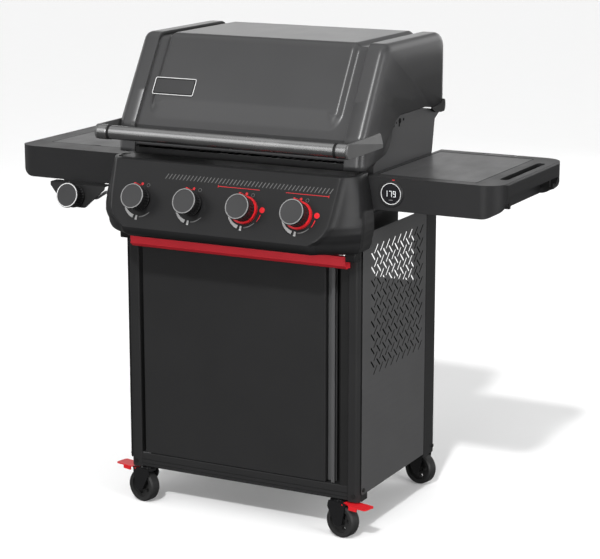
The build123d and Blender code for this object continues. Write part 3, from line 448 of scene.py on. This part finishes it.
def panel_levels():
    """Height, face half-width, face Y, flank half-width and flank Y down the panel."""
    keys = [
        (900.0, 302, 333, -256), (860.0, 299, 341, -264), (820.0, 296, 348, -271),
        (790.0, 291, 351, -275), (772.0, 280, 351, -277), (760.0, 266, 349, -275), (750.0, 250, 346, -272),
    ]
    levels = []
    for low, high in zip(keys, keys[1:]):
        for step in range(5):
            t = step / 5
            levels.append(tuple(a + (b - a) * t for a, b in zip(low, high)))
    levels.append(keys[-1])
    return [(z, half, face_y(z), flank, flank_y) for z, half, flank, flank_y in levels]


def panel_row(z, half, front, flank, flank_y, back=-206.5):
    """One level of the panel, from its middle round the right flank to the back."""
    row = [(half * part, front) for part in (0, 0.5, 0.8, 0.97, 1.0)]
    row += [(half + 2.5, front + 0.8), (half + 9, front + 6), (half + 13, front + 10.5)]
    start = Vector((half + 15, front + 13))
    end = Vector((flank, flank_y))
    knee = Vector((start.x + (end.x - start.x) * 0.62, start.y + (end.y - start.y) * 0.38))
    for step in range(9):
        t = step / 8
        point = start * (1 - t) ** 2 + knee * 2 * t * (1 - t) + end * t * t
        row.append((point.x, point.y))
    row += [(flank, flank_y + 12), (flank - 0.5, back)]
    return [(x, y, z) for x, y in row]


def control_panel_look():
    rows = [panel_row(*level) for level in panel_levels()]
    z, half, front, flank, flank_y = panel_levels()[-1]
    for step in range(1, 11):
        angle = math.radians(112 * step / 10)
        depth = 1 - math.cos(angle)
        rows.append(panel_row(
            z - 30 * math.sin(angle), half - 8 * depth, front + 34 * depth + 12 * smooth(step / 10),
            flank - 16 * depth, flank_y + 12 * depth,
        ))
    top = rows[0]
    brow = [
        [(x * 0.998, y + 1.2, z + 3.2) for x, y, z in top],
        [(x * 0.992, y + 6.0, z + 5.0) for x, y, z in top],
        [(x * 0.985, min(-206.5, y + 22.0), z + 5.0) for x, y, z in top],
        [(x * 0.96, -208.0 if abs(x) < 325 else y, z + 4.0) for x, y, z in top],
    ]
    rows = brow[::-1] + rows
    full = [[(-x, y, z) for x, y, z in row[:0:-1]] + row for row in rows]
    points, faces = quads(full)
    panel = make(
        "control_panel_look", points, [face[::-1] for face in faces], "frame", PANEL_PAINT,
        replaces=["control_panel"], slot="panel_grey", sharp=28,
    )
    return thicken(panel, 2.5, -1.0)


control_panel_look()


def on_face(x, down, out):
    """Point on the panel's face: down it from the top edge, and out from it."""
    return (
        x, PANEL_TOP_Y - down * math.sin(PANEL_TILT) - out * math.cos(PANEL_TILT),
        PANEL_TOP - down * math.cos(PANEL_TILT) + out * math.sin(PANEL_TILT),
    )


def mark(name, ring, material, height=0.35, base=0.02):
    """A printed mark on the panel's face."""
    return slab_of(name, ring, on_face, base, height, "frame", material)


KNOB_DOWN = (PANEL_TOP - KNOB_Z) / math.cos(PANEL_TILT)


def arc_ring(x, down, radius, start, end, wide_start, wide_end, steps=24):
    """Tapered arc in the panel's face; angles clockwise from the top, in degrees."""
    outer, inner = [], []
    for step in range(steps + 1):
        angle = math.radians(start + (end - start) * step / steps)
        wide = wide_start + (wide_end - wide_start) * step / steps
        for line, r in ((outer, radius + wide / 2), (inner, radius - wide / 2)):
            line.append((x + r * math.sin(angle), down - r * math.cos(angle)))
    return outer + inner[::-1]


def disc_ring(x, down, radius, steps=20):
    return [
        (x + radius * math.sin(2 * math.pi * i / steps), down - radius * math.cos(2 * math.pi * i / steps))
        for i in range(steps)
    ]


def ring_mark(name, x, down, radius, wide, material):
    """Small printed circle, as an open ring of quads."""
    outer, inner = disc_ring(x, down, radius), disc_ring(x, down, radius - wide)
    points = [on_face(*point, 0.35) for point in outer + inner]
    thicken(make(name, points, band(len(outer)), "frame", material), 0.3)


for index, x in enumerate(KNOB_XS):
    label = index + 1
    mark(f"dial_arc_{label}", arc_ring(x, KNOB_DOWN, 43, 258, 196, 2.5, 8.5), PALE_PRINT)
    mark(f"dial_tick_{label}", arc_ring(x, KNOB_DOWN, 44, 187, 180, 11, 11, 4), PALE_PRINT)
    mark(f"dial_low_{label}", arc_ring(x, KNOB_DOWN, 42, 174, 132, 3.4, 1.2), GREY_PRINT)
    mark(f"dial_off_{label}", disc_ring(x - 2, KNOB_DOWN - 39.5, 3.4), RED_PLASTIC)
    ring_mark(f"dial_spark_{label}", x + 15, KNOB_DOWN - 37.5, 4.6, 1.1, GREY_PRINT)
    if index >= 2:
        mark(f"boost_mark_{label}", disc_ring(x + 46, KNOB_DOWN - 4, 7.0), RED_PLASTIC)
        mark(f"boost_tail_{label}", arc_ring(x, KNOB_DOWN, 44, 100, 124, 2.6, 1.2, 8), RED_PLASTIC)
STROKES = 46
for step in range(STROKES):
    x = -154 + 442 * step / (STROKES - 1)
    stroke = [(x - 4.6, 35.5), (x - 2.4, 35.5), (x + 4.6, 22.5), (x + 2.4, 22.5)]
    mark(f"hatch_{step:02d}", stroke, GREY_PRINT)
for name, low, high in (("a", -10, 102), ("b", 172, 284)):
    line = [(low, 42.6), (high, 42.6), (high, 41.4), (low, 41.4)]
    mark(f"zone_line_{name}", line[::-1], RED_PLASTIC)
for name, x in (("a", -10), ("b", 284)):
    mark(f"zone_end_{name}", [(x - 0.6, 39), (x + 0.6, 39), (x + 0.6, 45), (x - 0.6, 45)], RED_PLASTIC)


# ---- knobs ----
def knob_point(base, tilt, across, up, out):
    x, y, z = base
    return (
        x + across, y - out * math.cos(tilt) + up * math.sin(tilt),
        z + out * math.sin(tilt) + up * math.cos(tilt),
    )


def lathe(name, profile, base, tilt, body, material, steps=72, flutes=None, **extra):
    """Turned piece about a knob's axis; profile is (radius, height) pairs."""
    rows = []
    for radius, height in profile:
        row = []
        for step in range(steps):
            angle = 2 * math.pi * step / steps
            r = radius
            if flutes and flutes[1] <= height <= flutes[2]:
                r -= flutes[3] * (0.5 + 0.5 * math.cos(angle * flutes[0])) ** 2
            row.append(knob_point(base, tilt, r * math.sin(angle), r * math.cos(angle), height))
        rows.append(row)
    points, faces = quads(rows, close_columns=True)
    if profile[-1][0] < 1:
        faces.append(tuple(range(len(points) - steps, len(points))))
    return make(name, points, faces, body, material, **extra)


def knob_look(node, body, base, tilt):
    body_profile = [
        (24, 5.4), (27.6, 5.4), (28, 6.0), (28, 8.2), (28.4, 9.4), (28.0, 10.5), (28.2, 16),
        (28.4, 23), (28.8, 30), (29.6, 32.5), (31.0, 34.6), (31.5, 36.4), (31.5, 40.0),
        (31.1, 41.6), (30.5, 42.2),
    ]
    lathe(
        f"{node}_body", body_profile, base, tilt, body, KNOB_BLACK, steps=192,
        flutes=(24, 10, 31, 1.8), replaces=[node], slot="knob_black",
    )
    ring_profile = [(30.6, 41.9), (30.3, 42.9), (29.6, 43.2), (28.5, 43.2), (27.9, 42.6)]
    is_side = node == "side_knob"
    lathe(f"{node}_ring", ring_profile, base, tilt, body, LIGHT_RING if is_side else GREY_RING)
    cap_profile = [(28.1, 42.8), (27.4, 41.8), (25, 41.7), (12, 41.9), (0.5, 42.0)]
    lathe(f"{node}_cap", cap_profile, base, tilt, body, KNOB_CAP)
    pointer = loop([(-2.6, 29.6), (2.6, 29.6), (2.0, 34.4), (-2.0, 34.4)], [0.6, 0.6, 0.8, 0.8], 3)

    def at(u, v, height):
        return knob_point(base, tilt, u, v, height)

    slab_of(f"{node}_pointer", pointer, at, 14, 38.5, body, KNOB_CAP if is_side else RED_PLASTIC)


for index, x in enumerate(KNOB_XS):
    knob_look(f"knob_{index + 1}", f"knob_{index + 1}", (x, face_y(KNOB_Z), KNOB_Z), PANEL_TILT)
knob_look("side_knob", "side_knob", SIDE_KNOB_BASE, SIDE_TILT)


# ---- lid handle, name plate and hinge covers ----
def along_x(name, profile, y, z, body, material, steps=48, **extra):
    """Turned piece about a line along X; profile is (radius, x) pairs."""
    rows = [
        [(x, y + r * math.cos(2 * math.pi * i / steps), z + r * math.sin(2 * math.pi * i / steps))
         for i in range(steps)] for r, x in profile
    ]
    points, faces = quads(rows, close_columns=True)
    return make(name, points, faces, body, material, **extra)


HANDLE_Y, HANDLE_Z = -318.0, 971.0
for side, name in ((-1, "left"), (1, "right")):
    collar = [(17.0, 303), (17.9, 303.5), (17.9, 309.5), (17.0, 310)]
    ferrule = [(17.2, 311), (18.3, 312), (18.3, 335), (17.6, 335.9)]
    for part, profile, material in (("collar", collar, DARK_STEEL), ("ferrule", ferrule, HANDLE_STEEL)):
        sided_profile = [(r, side * x) for r, x in profile]
        along_x(f"handle_{part}_{name}", sided_profile, HANDLE_Y, HANDLE_Z, "lid", material)


def handle_arms():
    """Both arms: a lower flat and an upper facet that leans in towards the lid."""
    nose = [(-321, 953.2), (-330, 957), (-335.2, 966), (-335.2, 977), (-330, 986), (-322, 989.4)]
    upper = [(-152, 991.2), (-146.5, 987)]
    crease_end = (-141.5, 964)
    lower = [(-142, 957), (-146, 954.6)]
    points, faces = [], []
    for side in (-1, 1):
        first = len(points)
        ring = nose + upper + [crease_end] + lower
        points += [(side * 336.2, y, z) for y, z in ring]
        outs = [341.5] * len(nose) + [338.2, 338.0, 341.5, 341.5, 341.2]
        points += [(side * x, y, z) for x, (y, z) in zip(outs, ring)]
        count = len(ring)
        walls = band(count, first)
        top = first + count
        facets = [
            (top + 5, top + 6, top + 7, top + 8),
            tuple(top + i for i in (8, 9, 10, 0, 1, 2, 3, 4, 5)),
            tuple(range(first, first + count))[::-1],
        ]
        faces += [face if side < 0 else face[::-1] for face in walls + facets]
    arms = make(
        "handle_arms", points, faces, "lid", ARM_METAL,
        replaces=["lid_handle_arms"], slot="arm_grey", sharp=2,
    )
    return soften(arms, 0.7, 2, 20)


handle_arms()

RAKE = math.atan2(HOOD_SHOULDER_Y - HOOD_KNEE[0], HOOD_TOP - HOOD_KNEE[1])
PLATE_X, PLATE_Z = -203, 1072


def on_lid(across, up, out):
    """Point on the raked front: across, up from the plate's middle, and out from the surface."""
    reach = (PLATE_Z - HOOD_KNEE[1]) / math.cos(RAKE) + up
    return (
        PLATE_X + across, HOOD_KNEE[0] + reach * math.sin(RAKE) - out * math.cos(RAKE),
        HOOD_KNEE[1] + reach * math.cos(RAKE) + out * math.sin(RAKE),
    )


def plate_ring(half_wide, half_high, radius):
    corners = [
        (-half_wide, -half_high), (half_wide, -half_high), (half_wide, half_high), (-half_wide, half_high),
    ]
    return loop(corners, [radius] * 4, 6)


slab_of(
    "name_plate_base", plate_ring(58, 23, 5), on_lid, 0.1, 1.8, "lid", DARK_STEEL,
    replaces=["lid_badge"], slot="badge_metal",
)
rim_out, rim_in = plate_ring(58, 23, 5), plate_ring(56.2, 21.2, 3.6)
rim_points = [on_lid(u, v, 2.2) for u, v in rim_out + rim_in]
thicken(make("name_plate_rim", rim_points, band(len(rim_out)), "lid", LIGHT_RING), 0.8)
slab_of("name_plate_field", plate_ring(53, 18, 2.5), on_lid, 1.8, 2.1, "lid", KNOB_CAP)

MATCH_HOLES = [(-58, 995, 3.4), (-43, 1001, 2.6), (-24, 1003, 7.0), (-2, 1004, 3.4), (-27, 993, 3.6)]
for side, name in ((-1, "left"), (1, "right")):
    def at_side(y, z, out, side=side):
        return (side * out, y, z)

    cover = loop(
        [(146, 1013), (168, 1001), (204, 996), (228, 996),
         (232, 1012), (229, 1026), (214, 1029), (203, 1018)],
        [2, 6, 6, 8, 8, 6, 6, 8], 4,
    )
    slab_of(f"hinge_cover_{name}", cover, at_side, 335.4, 339, "lid", DARK_STEEL)
    for number, (y, z, radius) in enumerate(MATCH_HOLES):
        hole = [
            (y + radius * math.cos(math.pi * step / 8), z + radius * math.sin(math.pi * step / 8))
            for step in range(16)
        ]
        slab_of(f"match_hole_{name}_{number}", hole, at_side, 329.9, 330.5, "frame", DEEP_SHADE)


# ---- read-out ----
READ_X, READ_Z = 393.0, 860.0


def on_table(across, up, out):
    return (READ_X + across, -205 - out, READ_Z + up)


def dial(name, profile, material, steps=72, **extra):
    """Turned piece about the read-out's axis; profile is (radius, height) pairs."""
    rows = [
        [
            on_table(r * math.sin(2 * math.pi * i / steps), r * math.cos(2 * math.pi * i / steps), h)
            for i in range(steps)
        ]
        for r, h in profile
    ]
    points, faces = quads(rows, close_columns=True)
    if profile[-1][0] < 1:
        faces.append(tuple(range(len(points) - steps, len(points))))
    return make(name, points, faces, "frame", material, **extra)


dial(
    "readout_bezel", [(31.5, 0.05), (31.5, 2.2), (30.6, 3.2), (26.4, 3.4), (25.9, 2.6)], KNOB_BLACK,
    replaces=["display"], slot="display_lens",
)
dial("readout_ring", [(25.9, 2.4), (25.8, 3.3), (24.2, 3.3), (24.0, 2.4)], LIGHT_RING)
dial("readout_lens", [(24.1, 2.6), (16, 2.8), (0.5, 2.9)], LENS)


def digit(name, lit, across, tall=14.0, wide=7.0, bar=1.3):
    """Seven-bar figure; lit names the bars that show."""
    middle, top, side = tall / 2, tall / 2 - bar / 2, wide / 2 - bar / 2
    bars = {
        "t": (0, top, wide, bar), "m": (0, 0, wide, bar), "b": (0, -top, wide, bar),
        "ul": (-side, middle / 2, bar, middle), "ur": (side, middle / 2, bar, middle),
        "ll": (-side, -middle / 2, bar, middle), "lr": (side, -middle / 2, bar, middle),
    }
    for key in lit:
        u, v, w, h = bars[key]
        left, right, low, high = across + u - w / 2, across + u + w / 2, v - h / 2, v + h / 2
        ring = [(left, low), (right, low), (right, high), (left, high)]
        slab_of(f"{name}_{key}", ring, on_table, 2.9, 3.15, "frame", DIGITS)


digit("figure_a", ("ur", "lr"), -12.5)
digit("figure_b", ("t", "ur", "lr"), -1.0)
digit("figure_c", ("t", "ul", "m", "ur", "lr", "b"), 9.0)
unit_bar = [(-5, -15.5), (5, -15.5), (5, -14), (-5, -14)]
slab_of("readout_unit", unit_bar, on_table, 2.9, 3.1, "frame", GREY_RING)
key_mark = [(2, 31.5), (8, 31.5), (8, 33.5), (2, 33.5)]
slab_of("readout_key_mark", key_mark, on_table, 0.05, 0.5, "frame", RED_PLASTIC)


# ---- tables ----
def flat_frame(name, x_range, y_range, wide, z, radius, material):
    """Thin rectangular line, laid flat."""
    rings = []
    for grow in (wide / 2, -wide / 2):
        (x0, x1), (y0, y1) = x_range, y_range
        corners = [
            (x0 - grow, y0 - grow), (x1 + grow, y0 - grow), (x1 + grow, y1 + grow), (x0 - grow, y1 + grow),
        ]
        rings.append(loop(corners, [max(1.0, radius + grow)] * 4, 5))
    points = [(x, y, z) for x, y in rings[0] + rings[1]]
    return thicken(make(name, points, band(len(rings[0])), "frame", material), 0.3)


flat_frame("right_inset_gap", (344.6, 594.4), (-175.4, 190.4), 1.8, TABLE_TOP + 0.1, 6, DEEP_SHADE)
flat_frame("left_lid_gap", (-609.0, -345.0), (-127.0, 190.0), 1.6, TABLE_TOP + 0.1, 2, DEEP_SHADE)
lip = [(452, 216), (538, 216), (538, 223), (452, 223)]
slab_of("right_back_slot", lip, as_given, TABLE_TOP - 0.4, TABLE_TOP + 0.2, "frame", DEEP_SHADE)


# ---- cabinet trim ----
def block(name, x_range, y_range, z_range, material, round_edges):
    (x0, x1), (y0, y1) = x_range, y_range
    ring = [(x0, y0), (x1, y0), (x1, y1), (x0, y1)]
    piece = slab_of(name, ring, as_given, *z_range, "frame", material)
    return soften(piece, round_edges, 3)


for side, name in ((-1, "left"), (1, "right")):
    def sided(low, high, side=side):
        return (low, high) if side > 0 else (-high, -low)

    block(f"panel_foot_{name}", sided(297.6, 325), (-256, -228), (697, 724), CABINET_PAINT, 3.0)


CAD_SHEET_INNER, SHEET_OUTER, SHOWN_GAUGE = 325.0, 328.0, 0.8


def thin_side_panels():
    """The side panels shown as thinner sheet than the CAD's 3 mm, so that the slots let light through."""
    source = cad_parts["side_panels"]
    points = []
    for vertex in source.data.vertices:
        x, y, z = source.matrix_world @ vertex.co
        if abs(x) * 1000 < (CAD_SHEET_INNER + SHEET_OUTER) / 2:
            x = math.copysign((SHEET_OUTER - SHOWN_GAUGE) / 1000, x)
        points.append((x * 1000, y * 1000 - SHIFT, z * 1000))
    faces = [tuple(polygon.vertices) for polygon in source.data.polygons]
    return make(
        "side_panels_look", points, faces, "frame", SIDE_PAINT, replaces=["side_panels"], slot="side_grey",
        sharp=30,
    )


thin_side_panels()

for node, width in {
    "front_posts": 1.2, "rear_posts": 1.2, "door_panel": 1.2, "door_handle": 0.8, "front_rail": 0.8,
    "red_cross_bar": 1.2, "right_table_frame": 1.6, "left_table": 1.6, "right_table_top": 0.5,
    "side_burner_lid": 0.8, "brake_pedal_left": 0.7, "brake_pedal_right": 0.7, "cookbox": 0.8,
    "side_burner_bracket": 0.8,
}.items():
    soften(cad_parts[node], width, 2, 40)

# ---- stage, light and camera ----
def surround(name, points, faces, glow, casts_shadow=True):
    """Pale glowing surface, hidden from reflections and bounced light; points in metres."""
    mesh = bpy.data.meshes.new(name)
    mesh.from_pydata(points, [], faces)
    material = finish(f"{name}_white", (0.90, 0.90, 0.90), 0.9, grain=0.0, patch=0.004, specular=0.0)
    shader = material.node_tree.nodes["Principled BSDF"]
    shader.inputs["Emission Color"].default_value = (1, 1, 1, 1)
    shader.inputs["Emission Strength"].default_value = glow
    mesh.materials.append(material)
    item = bpy.data.objects.new(name, mesh)
    bpy.context.scene.collection.objects.link(item)
    item.visible_glossy = False
    item.visible_diffuse = False
    item.visible_shadow = casts_shadow


FLOOR_HALF, FLOOR_BACK = 14, 26
surround(
    "floor",
    [(-FLOOR_HALF, -FLOOR_HALF, 0), (FLOOR_HALF, -FLOOR_HALF, 0), (FLOOR_HALF, FLOOR_BACK, 0),
     (-FLOOR_HALF, FLOOR_BACK, 0)],
    [(0, 1, 2, 3)], 0.075,
)

BACKDROP_LOW, BACKDROP_HIGH = (19.5, -0.05), (21.5, 16.0)     # radius and height of its edges
BACKDROP_Y, BACKDROP_STEPS = 6, 48
backdrop_rows = [
    [
        (
            radius * math.cos(2 * math.pi * i / BACKDROP_STEPS),
            BACKDROP_Y + radius * math.sin(2 * math.pi * i / BACKDROP_STEPS), level,
        )
        for i in range(BACKDROP_STEPS)
    ]
    for radius, level in (BACKDROP_LOW, BACKDROP_HIGH)
]
surround("backdrop", *quads(backdrop_rows, close_columns=True), 1.0, casts_shadow=False)

world = bpy.data.worlds.new("studio")
bpy.context.scene.world = world
bpy.context.scene.view_settings.view_transform = "Standard"
world.use_nodes = True
sky = world.node_tree
height = sky.nodes.new("ShaderNodeSeparateXYZ")
link(sky, sky.nodes.new("ShaderNodeTexCoord").outputs["Generated"], height.inputs["Vector"])
ramp = sky.nodes.new("ShaderNodeValToRGB")
for position, level in ((0.0, 0.10), (0.44, 0.16), (0.52, 0.95), (0.62, 0.50), (0.80, 0.14), (1.0, 0.10)):
    stop = ramp.color_ramp.elements[0] if position == 0 else ramp.color_ramp.elements.new(position)
    stop.color = (level, level, level, 1)
link(sky, remap(sky, height.outputs["Z"], 0, 1, -1, 1), ramp.inputs["Fac"])
link(sky, ramp.outputs["Color"], sky.nodes["Background"].inputs["Color"])
sky.nodes["Background"].inputs["Strength"].default_value = 1.0


def area(name, position, target, size, power, size_y=None):
    light = bpy.data.lights.new(name, "AREA")
    light.shape = "RECTANGLE"
    light.size = size
    light.size_y = size_y or size
    light.energy = power
    item = bpy.data.objects.new(name, light)
    item.location = position
    direction = Vector(target) - Vector(position)
    item.rotation_mode = "QUATERNION"
    item.rotation_quaternion = direction.to_track_quat("-Z", "Y")
    bpy.context.scene.collection.objects.link(item)


sun = bpy.data.lights.new("key", "SUN")
sun.energy = 1.9
sun.angle = math.radians(3.5)
key = bpy.data.objects.new("key", sun)
key.rotation_mode = "QUATERNION"
key.rotation_quaternion = Vector((-0.168, 0.691, -0.703)).to_track_quat("-Z", "Y")
bpy.context.scene.collection.objects.link(key)
area("right_fill", (4.2, -1.0, 1.7), (0, 0, 0.6), 2.6, 115)
area("hood_softbox", (-1.9, -2.7, 2.7), (0, -0.1, 1.05), 2.2, 14, 1.8)
area("left_fill", (-4.4, -0.4, 1.6), (0, 0, 0.6), 2.4, 22)
area("back_fill", (0.9, 5.0, 1.7), (0, 0, 0.6), 2.4, 30)
area("top_softbox", (-2.3, 4.4, 2.25), (0, 0, 1.1), 2.6, 6.5, 1.0)
area("front_fill", (0.3, -4.6, 1.0), (0, 0, 0.6), 2.0, 75)
area("handle_strip", (0.4, -2.6, 3.4), (0, -0.3, 0.95), 2.6, 13, 0.7)

CAMERA_LENS = 120.66
CAMERA_PLACE = (2327.2, -4401.5, 1720)
CAMERA_AZIMUTH, CAMERA_ELEVATION = math.radians(27.388), math.radians(12.996)
camera_data = bpy.data.cameras.new("camera")
camera = bpy.data.objects.new("camera", camera_data)
bpy.context.scene.collection.objects.link(camera)
camera_data.lens, camera_data.sensor_width = CAMERA_LENS, 36
camera_data.clip_start, camera_data.clip_end = 0.1, 100
camera.location = place(*CAMERA_PLACE)
azimuth, elevation = CAMERA_AZIMUTH, CAMERA_ELEVATION
back = Vector((
    math.sin(azimuth) * math.cos(elevation), -math.cos(azimuth) * math.cos(elevation), math.sin(elevation),
))
camera.rotation_mode = "QUATERNION"
camera.rotation_quaternion = (-back).to_track_quat("-Z", "Y")
bpy.context.scene.camera = camera
